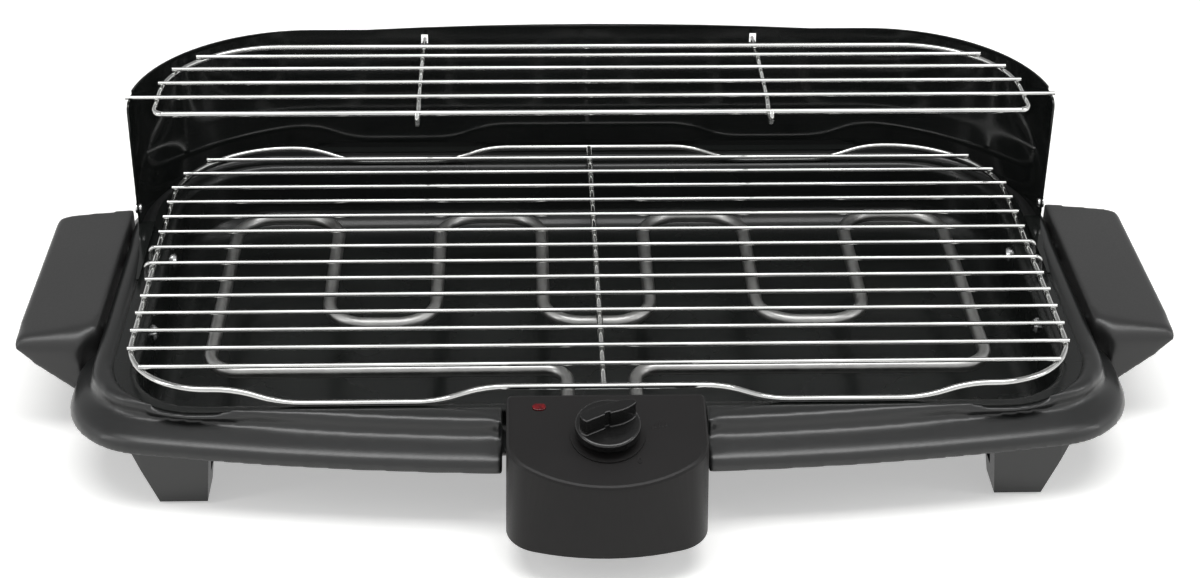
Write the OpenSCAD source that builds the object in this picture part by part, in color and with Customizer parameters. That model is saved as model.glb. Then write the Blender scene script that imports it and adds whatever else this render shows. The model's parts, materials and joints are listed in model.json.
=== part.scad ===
/* [Heights] */
// Height of the cooking grid's edge wire above the table
grid_h = 56.4; // [56:0.2:60]
// Height of the base frame's flat ledge above the table
ledge_h = 49; // [48:0.5:50]
// Height of the lower edge of the frame's skirt
skirt_h = 30.5; // [28:0.5:33]
// Height of the heating tube's axis above the table
element_h = 40; // [38:0.5:41]
// How far the warming rack's edge wire lies below the wings' top edge
rack_drop = 4; // [3:0.1:6]

/* [Base frame] */
// Width of the flat ledge beside the pan
ledge_side = 9.5; // [9:0.5:11]
// Width of the flat ledge in front of the pan
ledge_front = 13.2; // [12:0.1:15]
// Width of the flat ledge behind the pan
ledge_rear = 13.7; // [13:0.1:15]
// Radius of the bow in the frame's front
bow_r = 1200; // [1000:10:1600]
// Corner radius of the frame at the front
front_r = 45; // [42:1:50]
// Corner radius of the frame at the rear
rear_r = 99; // [96:1:102]
// Wall thickness of the moulded frame, handles and control housing
wall = 2.5; // [2:0.1:3]
// Width of the sloping bulge outside the ledge, at the front
bulge_front = 16.5; // [15:0.5:17]
// Width of the sloping bulge at the sides and the rear
bulge_side = 10; // [9.5:0.5:11]
// Radius that turns the bulge into the skirt
skirt_r = 5; // [4:0.5:6]
// Half width of the bay that holds the control unit
bay_hw = 46.5; // [46:0.5:50]

/* [Legs] */
// How far a leg's centre line stands inside the frame's side
leg_in = 55; // [50:1:58]
// How far the front legs stand behind the frame's front edge
leg_in_front = 24.5; // [23:0.5:28]
// How far the rear legs stand inside the frame's rear edge
leg_in_rear = 21; // [20:0.5:26]
// Width of a leg under the frame
leg_top_w = 39; // [34:1:41]
// Width of a leg at its foot
leg_foot_w = 22; // [19:1:24]
// Depth of a leg at its foot
leg_foot_d = 19; // [17:1:22]
// Diameter of a rubber foot pad
pad_d = 12; // [10:1:14]
// How far the pads stand out below the legs
pad_out = 1.2; // [0.8:0.2:2]

/* [Pan] */
// Half width of the pan, outside its side walls
pan_hw = 218.2; // [217.5:0.1:219]
// Pan's front wall, forward of the grid's centre
pan_front = 117; // [116:0.5:118]
// Pan's rear wall, behind the grid's centre
pan_rear = 119.5; // [118.5:0.5:120.5]
// Height of the pan's underside above the table
pan_bottom = 12; // [9:1:16]
// Thickness of the enamelled sheet
sheet_t = 1.1; // [0.9:0.1:1.3]
// Width of the pan's flange at the sides
flange_side = 11; // [10.5:0.1:11.5]
// Width of the pan's flange at the front and the rear
flange_end = 6.5; // [6:0.1:7]
// Half width of the notch that lets the heating tube's ends through
notch_hw = 26; // [24:1:30]

/* [Handles] */
// Gap between the ledge and a handle
handle_gap = 1; // [0.5:0.1:2]
// Width of a handle
handle_w = 39; // [35:1:43]
// Rear end of a handle, behind the grid's centre
handle_rear = 60; // [56:1:62]
// Front end of a handle, forward of the grid's centre
handle_front = 67; // [66:1:70]
// Positions of the two handle screws along the side
screw_y = [28, -43];
// Shank diameter of a handle screw
screw_d = 4; // [3.5:0.1:4.5]

/* [Windshield] */
// How far the windshield stands inside the ledge's outer edge
shield_in = 3; // [2.8:0.1:4]
// Depth of the windshield, from its back panel to the wings' front edge
shield_deep = 89; // [87:1:93]
// Radius of its rounded corners
shield_r = 86; // [84:1:88]
// Thickness of its sheet
shield_t = 1; // [0.8:0.1:1.2]
// Height of the wings' top edge above the table
shield_h = 120.4; // [119.4:0.2:123]
// How far the back panel's top edge rises in the middle
shield_bow = 3; // [0:0.5:5]

/* [Cooking grid] */
// How far the side wires lie inside the flange's edge
grid_side = 9.2; // [8.5:0.1:12]
// How far the front and rear wires lie inside the flange's edge
grid_end = 4; // [3.5:0.1:5]
// Diameter of the edge wire
edge_d = 3; // [2.8:0.1:3.4]
// Diameter of the cross wires
cross_d = 2.2; // [2:0.1:2.6]
// Number of cross wires
cross_n = 14; // [10:2:14]
// Spacing of the cross wires
cross_pitch = 16; // [15.5:0.1:16.2]

/* [Warming rack] */
// Distance from the windshield to the rack's edge wire
rack_gap = 14; // [12:0.5:17]
// Depth of the rack between its front and rear edge wires
rack_deep = 81; // [79:1:83]
// Diameter of the rack's edge wire
rack_edge_d = 2.8; // [2.6:0.1:3.2]
// Diameter of the rack's cross bars
rack_bar_d = 2.1; // [2:0.1:2.4]
// Diameter of the two bearer wires
bearer_d = 2.4; // [2.2:0.1:2.6]
// Position of the bearer wires to each side
bearer_x = 89; // [80:1:100]

/* [Heating element] */
// Diameter of the heating tube
tube_d = 6.5; // [6:0.1:7]
// Half distance between two runs of the tube
tube_a = 26.6; // [26:0.1:26.8]
// Half distance between the tube's two ends
lead_x = 16; // [14:0.5:18]
// Distance from the pan's front wall to the tube's front run
tube_in_front = 38; // [35:1:41]
// Distance from the pan's rear wall to the tube's rear bends
tube_in_rear = 47.5; // [43.5:0.5:51.5]

/* [Control unit] */
// Half width of the control housing
box_hw = 44.4; // [42:0.1:44.6]
// Gap between the ledge's front edge and the housing
box_gap = 3; // [3:0.1:4]
// Depth of the housing from its rear wall to the middle of its front
box_deep = 57; // [53:1:63]
// Height of the housing's rear top edge above the table
box_h = 66.2; // [63:0.2:68]
// Height of the housing's lower edge above the table
box_foot = 16; // [12:1:18]
// Forward tilt of the top panel, in degrees
box_tilt = 12; // [9:1:14]
// Diameter of the knob's disc
knob_d = 29; // [27:1:32]
// Distance from the housing's rear wall to the knob's axis
knob_in = 26; // [25:0.5:30]
// Diameter of the knob's shaft
shaft_d = 6; // [5:0.5:6]
// Turn of the grip bar at rest, in degrees
grip_turn = 28; // [0:1:45]

/* [Hidden] */
$fn = 48;
e = 0.02;
run_fit = 0.05;
seat = 0.1;
// depth of the rounded edge around the top panel
edge_drop = 2.4;
// from the pan outwards: flange, ledge, crease and outer edge
flange_gap = 0.3;
flange_hw = pan_hw + flange_side;
flange_front = pan_front + flange_end;
flange_rear = pan_rear + flange_end;
crease_hw = flange_hw + flange_gap + ledge_side;
crease_front = flange_front + flange_gap + ledge_front;
crease_rear = flange_rear + flange_gap + ledge_rear;
frame_hw = crease_hw + bulge_side;
frame_front = crease_front + bulge_front;
frame_rear = crease_rear + bulge_side;
leg_x = frame_hw - leg_in;
leg_front = frame_front - leg_in_front;
leg_rear = frame_rear - leg_in_rear;
handle_in = crease_hw + handle_gap;
handle_out = handle_in + handle_w;
shield_hw = crease_hw - shield_in;
shield_rear = crease_rear - shield_in;
shield_front = shield_rear - shield_deep;
grid_hw = flange_hw - grid_side;
grid_front = flange_front - grid_end;
grid_rear = flange_rear - grid_end;
rack_h = shield_h - rack_drop;
rack_hw = shield_hw - rack_gap;
rack_rear = shield_rear - rack_gap;
rack_front = rack_rear - rack_deep;
tube_front = pan_front - tube_in_front;
tube_rear = pan_rear - tube_in_rear;
box_rear = crease_front + box_gap;
box_front = box_rear + box_deep;
knob_y = box_rear + knob_in;
// the whole model moves back so that the origin is under the middle of its outline
y_shift = (box_front - edge_drop * sin(box_tilt) - frame_rear) / 2;
pan_rf = 34;
pan_rr = 47;
flange_r = 45;
flange_rr = 58;
// the grid's dips and hooks rest on the pan's flange, under the edge wire
flange_top = grid_h - 8 - edge_d / 2;
dip = grid_h - flange_top - edge_d / 2 - 0.05;
ledge_under = ledge_h - wall;
// rounding of the ledge's rim
rim_r = 2.4;
step_low = skirt_h + 4.7;
// how far the top of a leg lies outside its foot
leg_lean = 5.5;
gap_front = handle_front - 5;
gap_rear = handle_rear + 0.8;
shelf_top = flange_top - sheet_t;
shelf_low = shelf_top - wall;
bridge_top = element_h - tube_d / 2 - 3.75;
wing_c = [shield_hw - shield_r, shield_rear - shield_r];
bar_h = rack_h + (rack_edge_d + rack_bar_d) / 2 + e;
bar_y = [rack_rear - 17, rack_rear - 32.5, rack_rear - 49.5];
notch_y = shield_front + 8.5;
bearer_h = rack_h + rack_edge_d / 2 - bearer_d / 2;
hook_h = rack_h - (rack_edge_d + bearer_d) / 2 - e;
cross_h = grid_h + (edge_d + cross_d) / 2 + e;
bend_r = 20;
box_r = 60;
box_cr = 20;
box_len = (box_front - box_rear) / cos(box_tilt);
// posts and screws of the base plate, and the cord inlet behind them
post_at = [[-32, -box_rear - 12], [32, -box_rear - 12],
    [-24, 15 - box_front], [24, 15 - box_front]];
inlet_in = 11;
knob_run = (knob_y - box_rear) / cos(box_tilt);
// the rack leaves its notches forwards and up at this angle
lift_a = 35;
rivet_in = 3.4;
dip_a = 22;

// ---- plan outlines ----

// outline with straight front and rear edges
module rounded(hw, front, rear, rf, rr) {
    translate([-hw, rf - front])
        square([2 * hw, front + rear - rf - rr]);
    translate([rf - hw, -front])
        square([2 * (hw - rf), front + rear - rr]);
    translate([rr - hw, 0])
        square([2 * (hw - rr), rear]);
    for (s = [-1, 1]) {
        translate([s * (hw - rf), rf - front])
            circle(r = rf, $fn = 96);
        translate([s * (hw - rr), rear - rr])
            circle(r = rr, $fn = 144);
    }
}

// height of the corner centres of an outline whose front is a bow
function corner_y(hw, front, rb, rf) =
    rb - front - sqrt(pow(rb - rf, 2) - pow(hw - rf, 2));

// outline with a bowed front that runs smoothly into its corners
module bowed(hw, front, rear, rb, rf, rr, fine = 360, corner = 96) {
    cy = corner_y(hw, front, rb, rf);
    xt = (hw - rf) * rb / (rb - rf);
    intersection() {
        translate([0, rb - front])
            circle(r = rb, $fn = fine);
        translate([-xt, -front - 1])
            square([2 * xt, front + 1 + cy]);
    }
    translate([-hw, cy])
        square([2 * hw, rear - rr - cy]);
    translate([rr - hw, cy])
        square([2 * (hw - rr), rear - cy]);
    for (s = [-1, 1]) {
        translate([s * (hw - rf), cy])
            circle(r = rf, $fn = corner);
        translate([s * (hw - rr), rear - rr])
            circle(r = rr, $fn = corner * 1.5);
    }
}

// crease at the foot of the step, or the same line moved inwards
module crease(inset = 0, fine = 360, corner = 96) {
    bowed(crease_hw - inset, crease_front - inset, crease_rear - inset,
        bow_r - bulge_front - inset, 36 - inset, rear_r - bulge_side - inset, fine, corner);
}

// outer edge of the frame, or the same line moved inwards
module rim(inset = 0, fine = 360, corner = 96) {
    bowed(frame_hw - inset, frame_front - inset, frame_rear - inset,
        bow_r - inset, front_r - inset, rear_r - inset, fine, corner);
}

// rounded opening of the ledge, or the same line moved outwards
module opening(grow = 0) {
    g = flange_gap + grow;
    rounded(flange_hw + g, flange_front + g, flange_rear + g, flange_r + g, flange_rr + g);
}

// ---- bent wire and tube: straight lengths and bends, one after the other ----

// true where a bend other than a right angle meets what comes before it
function slight(steps, i) = i > 0 &&
    ((steps[i][0] == "A" && abs(steps[i][2]) != 90) ||
        (steps[i - 1][0] == "A" && abs(steps[i - 1][2]) != 90));

// hair-thin band that makes one solid of two lengths of wire
module band(d) {
    translate([-0.2, 0, 0])
        rotate([0, 90, 0])
            cylinder(d = d + 0.04, h = 0.4);
}

// steps: ["L", length] and ["A", radius, angle, roll before the bend]
module bend(d, steps, i = 0) {
    if (i < len(steps)) {
        s = steps[i];
        if (s[0] == "L") {
            rotate([0, 90, 0])
                cylinder(d = d, h = s[1]);
            if (slight(steps, i))
                band(d);
            translate([s[1], 0, 0])
                bend(d, steps, i + 1);
        } else {
            turn = sign(s[2]);
            if (slight(steps, i))
                band(d);
            rotate([s[3], 0, 0])
                translate([0, turn * s[1], 0]) {
                    rotate([0, 0, turn > 0 ? -90 : 90 + s[2]])
                        rotate_extrude(angle = abs(s[2]))
                            translate([s[1], 0])
                                circle(d = d);
                    rotate([0, 0, s[2]])
                        translate([0, -turn * s[1], 0])
                            bend(d, steps, i + 1);
                }
        }
    }
}

// radius of the two equal bends that shift a wire by h at an angle of a
function shift_r(h, a) = round(50 * abs(h) / (1 - cos(a))) / 100;

// length that those two bends take up
function shift_len(h, a) = 2 * shift_r(h, a) * sin(a);

// the two bends themselves
function shift(h, a, roll) = let (r = shift_r(h, a), k = sign(h))
    [["A", r, k * a, roll], ["A", r, -k * a, 0]];

module both_sides() {
    children();
    mirror([1, 0, 0])
        children();
}

// ---- base frame ----

// full form under the crease: a slope, a rounded edge and an upright skirt
module skirt_form(t) {
    round_h = skirt_h + 2.5;
    top = round_h + skirt_r + 3.3;
    hull() {
        translate([0, 0, skirt_h - (t > 0 ? 1 : 0)])
            linear_extrude(e)
                rim(t, 200, 40);
        for (a = [0, 25, 50, 75])
            translate([0, 0, round_h + (skirt_r - t) * sin(a)])
                linear_extrude(e)
                    rim(t + (skirt_r - t) * (1 - cos(a)), 200, 40);
        translate([0, 0, top - t])
            linear_extrude(e)
                crease(t, 200, 40);
    }
}

// full form of the step and the ledge, with a rounded rim
module ledge_form() {
    hull() {
        translate([0, 0, step_low])
            linear_extrude(e)
                crease(0, 200, 40);
        for (a = [0, 30, 60, 90])
            translate([0, 0, ledge_h - e - rim_r + rim_r * sin(a)])
                linear_extrude(e)
                    crease(rim_r * (1 - cos(a)), 200, 40);
    }
}

// plates that close the ends of the hollow skirt
module skirt_ends() {
    for (s = [-1, 1]) {
        translate([s * (bay_hw + wall / 2) - wall / 2, -frame_front - 1, skirt_h])
            cube([wall, bulge_front + 2, 20]);
        translate([s * (frame_hw - 12) - 13, -gap_front - wall, skirt_h])
            cube([26, wall, 20]);
        translate([s * (frame_hw - 12) - 13, gap_rear, skirt_h])
            cube([26, wall, 20]);
    }
}

module base_frame() {
    color("#1c1c1d")
        translate([0, y_shift, 0])
            difference() {
                union() {
                    difference() {
                        ledge_form();
                        translate([0, 0, step_low - 1])
                            linear_extrude(ledge_under - step_low + 1)
                                crease(wall);
                        translate([0, 0, step_low - 1])
                            linear_extrude(30)
                                opening();
                    }
                    translate([0, 0, shelf_low])
                        linear_extrude(wall)
                            difference() {
                                opening(2);
                                opening(-3.8);
                            }
                    difference() {
                        skirt_form(0);
                        difference() {
                            skirt_form(wall);
                            skirt_ends();
                        }
                        translate([0, 0, skirt_h - 2])
                            linear_extrude(30)
                                crease(wall);
                        // room for the handles
                        for (s = [-1, 1])
                            translate([s * (crease_hw + 20) - 20, -gap_front, 0])
                                cube([40, gap_front + gap_rear, 80]);
                        both_sides()
                            linear_extrude(80)
                                handle_plan(-flange_gap);
                    }
                    // low bridge and cheeks of the control unit's bay
                    translate([-bay_hw - wall, -crease_front, bridge_top - wall])
                        cube([2 * (bay_hw + wall), crease_front - pan_front - 3, wall]);
                    for (s = [-1, 1])
                        translate([s * (bay_hw + wall / 2) - wall / 2, -crease_front,
                            bridge_top - wall])
                            cube([wall, crease_front - pan_front - 3,
                                ledge_h - bridge_top + wall]);
                }
                // recess for the pan's flange
                translate([0, 0, shelf_top])
                    linear_extrude(30)
                        opening();
                // bay for the control unit
                translate([-bay_hw, -frame_front - 5, bridge_top])
                    cube([2 * bay_hw, frame_front + 5 - pan_front + 5, 40]);
                translate([-bay_hw, -frame_front - 5, 0])
                    cube([2 * bay_hw, frame_front + 5 - crease_front, bridge_top + 1]);
                // holes that let the handles' bosses through
                for (s = [-1, 1], y = screw_y)
                    translate([s * crease_hw, y, element_h])
                        rotate([0, 90, 0])
                            cylinder(d = screw_d + 5.5, h = 30, center = true);
                // slots for the windshield's tabs
                for (s = [-1, 1])
                    translate([s * 100 - 8, shield_rear - shield_t - 0.4, shelf_low - 1])
                        cube([16, shield_t + 0.8, 20]);
            }
}

// ---- legs and pads ----

// leg at the front, right; the foot is narrower and less deep than its top
module leg(front, dir) {
    top = step_low;
    y0 = dir * front;
    intersection() {
        translate([0, 300, 0])
            rotate([90, 0, 0])
                linear_extrude(600)
                    polygon([[leg_x - leg_foot_w / 2, pad_out], [leg_x + leg_foot_w / 2, pad_out],
                        [leg_x + leg_top_w / 2 + leg_lean, top], [leg_x - leg_top_w / 2 + leg_lean, top]]);
        rotate([90, 0, 90])
            linear_extrude(300)
                polygon([[y0, pad_out], [y0, top], [y0 - dir * 34, top],
                    [y0 - dir * leg_foot_d, pad_out]]);
    }
}

module leg_core(front, dir) {
    top = step_low;
    y0 = dir * (front - wall);
    intersection() {
        translate([0, 300, 0])
            rotate([90, 0, 0])
                linear_extrude(600)
                    polygon([[leg_x - leg_foot_w / 2 + wall, pan_bottom - 2],
                        [leg_x + leg_foot_w / 2 - wall, pan_bottom - 2],
                        [leg_x + leg_top_w / 2 + leg_lean - wall, top + 1],
                        [leg_x - leg_top_w / 2 + leg_lean + wall, top + 1]]);
        rotate([90, 0, 90])
            linear_extrude(300)
                polygon([[y0, 0], [y0, top + 1], [y0 - dir * 60, top + 1], [y0 - dir * 60, 0]]);
    }
}

module legs() {
    color("#1c1c1d")
        translate([0, y_shift, 0])
            both_sides()
                difference() {
                    intersection() {
                        union() {
                            leg(leg_front, -1);
                            leg(leg_rear, 1);
                        }
                        linear_extrude(60)
                            rim(skirt_r + 0.5);
                    }
                    leg_core(leg_front, -1);
                    leg_core(leg_rear, 1);
                    translate([0, 0, pan_bottom - 2])
                        linear_extrude(60)
                            rounded(pan_hw + 1, pan_front + 1, pan_rear + 1, pan_rf + 1, pan_rr + 1);
                    for (y = [leg_foot_d / 2 - leg_front, leg_rear - leg_foot_d / 2])
                        translate([leg_x, y, 0])
                            cylinder(d = pad_d + 0.2, h = pad_out + 1.8);
                }
}

module foot_pads() {
    color("#2b2b2b")
        translate([0, y_shift, 0])
            both_sides()
                for (y = [leg_foot_d / 2 - leg_front, leg_rear - leg_foot_d / 2])
                    translate([leg_x, y, 0])
                        rotate_extrude()
                            polygon([[0, 0], [pad_d / 2 - 0.8, 0], [pad_d / 2, 0.8],
                                [pad_d / 2, pad_out + 1.8], [0, pad_out + 1.8]]);
}

// ---- pan ----

// section of the pan's wall and lower bend, outside of the wall at x = 0
module pan_section() {
    r = 12;
    translate([-sheet_t, pan_bottom + r])
        square([sheet_t, flange_top - pan_bottom - r - 3]);
    intersection() {
        translate([-r, pan_bottom + r])
            difference() {
                circle(r = r);
                circle(r = r - sheet_t);
            }
        translate([-r, pan_bottom])
            square([r, r]);
    }
    intersection() {
        translate([3, flange_top - 3])
            difference() {
                circle(r = 3 + sheet_t);
                circle(r = 3);
            }
        translate([-sheet_t, flange_top - 3])
            square([3 + sheet_t, 3 + sheet_t]);
    }
}

module pan() {
    rf = pan_rf;
    rr = pan_rr;
    lift = shelf_top - flange_top;
    color("#121213")
        translate([0, y_shift, 0])
            difference() {
                union() {
                    translate([0, 0, lift]) {
                        for (s = [-1, 1]) {
                            translate([s * (pan_hw - rf), rf - pan_front, 0])
                                rotate([0, 0, s > 0 ? -90 : 180])
                                    rotate_extrude(angle = 90, $fn = 96)
                                        translate([rf, 0])
                                            pan_section();
                            translate([s * (pan_hw - rr), pan_rear - rr, 0])
                                rotate([0, 0, s > 0 ? 0 : 90])
                                    rotate_extrude(angle = 90, $fn = 144)
                                        translate([rr, 0])
                                            pan_section();
                        }
                        translate([pan_hw, pan_rear - rr, 0])
                            rotate([90, 0, 0])
                                linear_extrude(pan_front + pan_rear - rf - rr)
                                    pan_section();
                        mirror([1, 0, 0])
                            translate([pan_hw, pan_rear - rr, 0])
                                rotate([90, 0, 0])
                                    linear_extrude(pan_front + pan_rear - rf - rr)
                                        pan_section();
                        translate([rf - pan_hw, -pan_front, 0])
                            rotate([90, 0, 90])
                                mirror([1, 0, 0])
                                    linear_extrude(2 * (pan_hw - rf))
                                        pan_section();
                        translate([rr - pan_hw, pan_rear, 0])
                            rotate([90, 0, 90])
                                linear_extrude(2 * (pan_hw - rr))
                                    pan_section();
                    }
                    translate([0, 0, pan_bottom + lift])
                        linear_extrude(sheet_t)
                            rounded(pan_hw - 12, pan_front - 12, pan_rear - 12, rf - 12, rr - 12);
                    translate([0, 0, shelf_top])
                        linear_extrude(sheet_t)
                            difference() {
                                rounded(flange_hw, flange_front, flange_rear, flange_r, flange_rr);
                                rounded(pan_hw + 3, pan_front + 3, pan_rear + 3, rf + 3, rr + 3);
                            }
                }
                // notch for the ends of the heating tube
                translate([-notch_hw, -flange_front - 1, bridge_top - wall])
                    cube([2 * notch_hw, flange_front - pan_front + 5, 40]);
                for (s = [-1, 1], y = screw_y)
                    translate([s * pan_hw, y, element_h])
                        rotate([0, 90, 0])
                            cylinder(d = screw_d + 0.5, h = 8, center = true);
            }
}

// ---- handles and their screws ----

// side view of a handle: flat top, shallow fold, then a rounded front end
module handle_side(t) {
    f = -handle_front + t;
    r = 10 - t;
    translate([f + r, 0])
        square([handle_rear - t - f - r, 90]);
    translate([f, 0])
        square([20, ledge_h - 7]);
    translate([f + r, ledge_h - 7])
        circle(r = r, $fn = 96);
}

module handle_plan(t) {
    r = 5 - t;
    difference() {
        union() {
            polygon([[handle_in + t, -handle_front - 1], [handle_out - t, -handle_front - 1],
                [handle_out - t, handle_rear - 8.5], [handle_out - 7, handle_rear - 8.5],
                [handle_out - 7, handle_rear - 1.5 - t], [handle_in + t, handle_rear - t]]);
            translate([handle_out - 7, handle_rear - 8.5])
                circle(r = 7 - t, $fn = 64);
        }
        translate([handle_in - 9, -handle_front - 6])
            circle(r = 18 + t, $fn = 64);
    }
}

module handle() {
    low = ledge_h - 29;
    difference() {
        union() {
            intersection() {
                translate([0, 100, 0])
                    rotate([90, 0, 0])
                        linear_extrude(200)
                            polygon([[handle_in, low], [handle_in, ledge_h + 4],
                                [handle_out - 1.5, ledge_h + 1], [handle_out, ledge_h - 0.5],
                                [handle_out, ledge_h - 4], [handle_in + 9, low]]);
                rotate([90, 0, 90])
                    linear_extrude(300)
                        handle_side(0);
                linear_extrude(90)
                    handle_plan(0);
            }
            for (y = screw_y)
                translate([pan_hw + flange_gap, y, element_h])
                    rotate([0, 90, 0])
                        cylinder(d = screw_d + 4, h = handle_in - pan_hw - flange_gap + 1);
        }
        // finger space, open below
        intersection() {
            translate([0, 100, 0])
                rotate([90, 0, 0])
                    linear_extrude(200)
                        polygon([[handle_in + wall, 0], [handle_in + wall, ledge_h + 4 - wall * 1.1],
                            [handle_out - wall, ledge_h + 0.8 - wall], [handle_out - wall, 0]]);
            rotate([90, 0, 90])
                linear_extrude(300)
                    handle_side(wall);
            linear_extrude(90)
                handle_plan(wall);
        }
        for (y = screw_y)
            translate([pan_hw - 1, y, element_h])
                rotate([0, 90, 0])
                    cylinder(d = screw_d + 2 * run_fit, h = 20);
    }
}

module handle_right() {
    color("#1c1c1d")
        translate([0, y_shift, 0])
            handle();
}

module handle_left() {
    color("#1c1c1d")
        translate([0, y_shift, 0])
            mirror([1, 0, 0])
                handle();
}

module handle_screws() {
    color("#c9cacb")
        translate([0, y_shift, 0])
            both_sides()
                for (y = screw_y)
                    translate([pan_hw - sheet_t, y, element_h])
                        rotate([0, 90, 0])
                            difference() {
                                union() {
                                    cylinder(d = screw_d, h = 16);
                                    rotate_extrude()
                                        polygon([[0, 0], [screw_d, 0], [screw_d, -1.2],
                                            [screw_d - 1.2, -2.6], [0, -2.6]]);
                                }
                                for (a = [0, 90])
                                    rotate([0, 0, a])
                                        translate([-2.2, -0.5, -3])
                                            cube([4.4, 1, 2]);
                            }
}

// ---- windshield ----

module shield_plan(o) {
    translate([-shield_hw + o, 0])
        square([2 * (shield_hw - o), wing_c[1]]);
    translate([-wing_c[0], 0])
        square([2 * wing_c[0], shield_rear - o]);
    for (s = [-1, 1])
        translate([s * wing_c[0], wing_c[1]])
            circle(r = shield_r - o, $fn = 180);
}

module shield_wall() {
    intersection() {
        translate([0, 0, ledge_h])
            linear_extrude(shield_h + shield_bow - ledge_h)
                difference() {
                    shield_plan(0);
                    shield_plan(shield_t);
                }
        union() {
            // back panel with its bowed top edge
            translate([0, 200, 0])
                rotate([90, 0, 0])
                    linear_extrude(138) {
                        translate([-300, 0])
                            square([600, shield_h]);
                        intersection() {
                            rb = (pow(120, 2) + pow(shield_bow, 2)) / (2 * shield_bow);
                            translate([0, shield_h + shield_bow - rb])
                                circle(r = rb, $fn = 720);
                            translate([-120, shield_h - 1])
                                square([240, 10]);
                        }
                    }
            // lower front end of each wing
            translate([-300, 0, 0])
                rotate([90, 0, 90])
                    linear_extrude(600) {
                        translate([shield_front, 0])
                            square([20, shield_h - 7]);
                        translate([shield_front + 5, shield_h - 7])
                            circle(r = 5);
                        translate([shield_front + 5, 0])
                            square([10, shield_h - 2]);
                    }
        }
    }
}

module windshield() {
    slot_top = hook_h + bearer_d / 2 + 2.9;
    slot_low = hook_h - bearer_d / 2 - 0.2;
    color("#0d0d0e")
        translate([0, y_shift, 0])
            difference() {
                union() {
                    shield_wall();
                    // foot that lies on the ledge
                    translate([0, 0, ledge_h])
                        linear_extrude(shield_t)
                            difference() {
                                shield_plan(0);
                                shield_plan(6.5);
                                translate([-300, -100])
                                    square([600, shield_front + 100]);
                                // a rolled corner carries no foot
                                for (s = [-1, 1])
                                    translate([s * (wing_c[0] + 120) - 120, wing_c[1]])
                                        square([240, 200]);
                            }
                    both_sides()
                        translate([0, 0, ledge_h])
                            linear_extrude(shield_t)
                                polygon([[shield_hw, shield_front + 4], [shield_hw, shield_front],
                                    [shield_hw - 5, 16], [shield_hw - 6.7, -8],
                                    [shield_hw - 8, -8], [shield_hw - 8, shield_front + 4]]);
                    for (s = [-1, 1])
                        translate([s * 100 - 7, shield_rear - shield_t, ledge_under - 1])
                            cube([14, shield_t, 10]);
                }
                // notches that carry the rack's outer bar; it leaves them forwards and up
                translate([-300, notch_y, bar_h]) {
                    rotate([0, 90, 0])
                        cylinder(d = rack_bar_d + 2 * seat, h = 600);
                    rotate([-lift_a, 0, 0])
                        translate([0, -20, -rack_bar_d / 2 - seat])
                            cube([600, 20, 12]);
                    translate([0, 0, -rack_bar_d / 2 - seat])
                        cube([600, 2.8, 12]);
                }
                // slots for the bearers' rear ends
                for (s = [-1, 1])
                    translate([s * bearer_x - bearer_d / 2 - 0.6, shield_rear - 5, slot_low])
                        cube([bearer_d + 1.2, 10, slot_top - slot_low]);
                for (s = [-1, 1])
                    translate([s * shield_hw, shield_front + rivet_in, ledge_h + 9])
                        rotate([0, 90, 0])
                            cylinder(d = 3.2, h = 10, center = true);
            }
}

module shield_rivets() {
    color("#b8b9ba")
        translate([0, y_shift, 0])
            both_sides()
                translate([shield_hw, shield_front + rivet_in, ledge_h + 9])
                    rotate([0, -90, 0])
                        rotate_extrude()
                            polygon([[0, -1], [2.6, -1], [2.6, 0], [1.5, 0], [1.5, shield_t + 0.1],
                                [2.6, shield_t + 0.1], [2.3, shield_t + 0.9], [1.2, shield_t + 1.3],
                                [0, shield_t + 1.3]]);
}

// ---- warming rack ----

module rack_edge_wire() {
    rf = 6;
    rr = 56;
    color("#d4d6d8")
        translate([0, y_shift, rack_h])
            both_sides()
                translate([0, rack_front, 0])
                    bend(rack_edge_d, [["L", rack_hw - rf], ["A", rf, 90, 0],
                        ["L", rack_rear - rack_front - rf - rr], ["A", rr, 90, 0],
                        ["L", rack_hw - rr]]);
}

// half width of the rack's edge at a cross bar
function rack_x(y) = y > rack_rear - 56
    ? rack_hw - 56 + sqrt(pow(56, 2) - pow(y - rack_rear + 56, 2)) : rack_hw;

module rack_bars() {
    color("#d4d6d8")
        translate([0, y_shift, bar_h]) {
            for (y = bar_y)
                translate([0, y, 0])
                    rotate([0, 90, 0])
                        cylinder(d = rack_bar_d, h = 2 * rack_x(y) + 3, center = true);
            translate([0, notch_y, 0])
                rotate([0, 90, 0])
                    cylinder(d = rack_bar_d, h = 2 * shield_hw + 3, center = true);
        }
}

module rack_bearers() {
    rise = bearer_h - hook_h;
    run = shift_len(rise, 30);
    tail = shield_rear + 2 - rack_rear + 4;
    nose = 6;
    color("#d4d6d8")
        translate([0, y_shift, 0])
            for (s = [-1, 1])
                translate([s * bearer_x, shield_rear + 2, hook_h])
                    rotate([0, 0, -90])
                        bend(bearer_d, concat(
                            [["L", tail]],
                            shift(rise, 30, 90),
                            [["L", rack_rear - rack_front - 8 - 2 * run]],
                            shift(-rise, 30, 0),
                            [["L", nose + 4], ["A", 4, 120, 0], ["L", 1.5]]));
}

// ---- cooking grid ----

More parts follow.
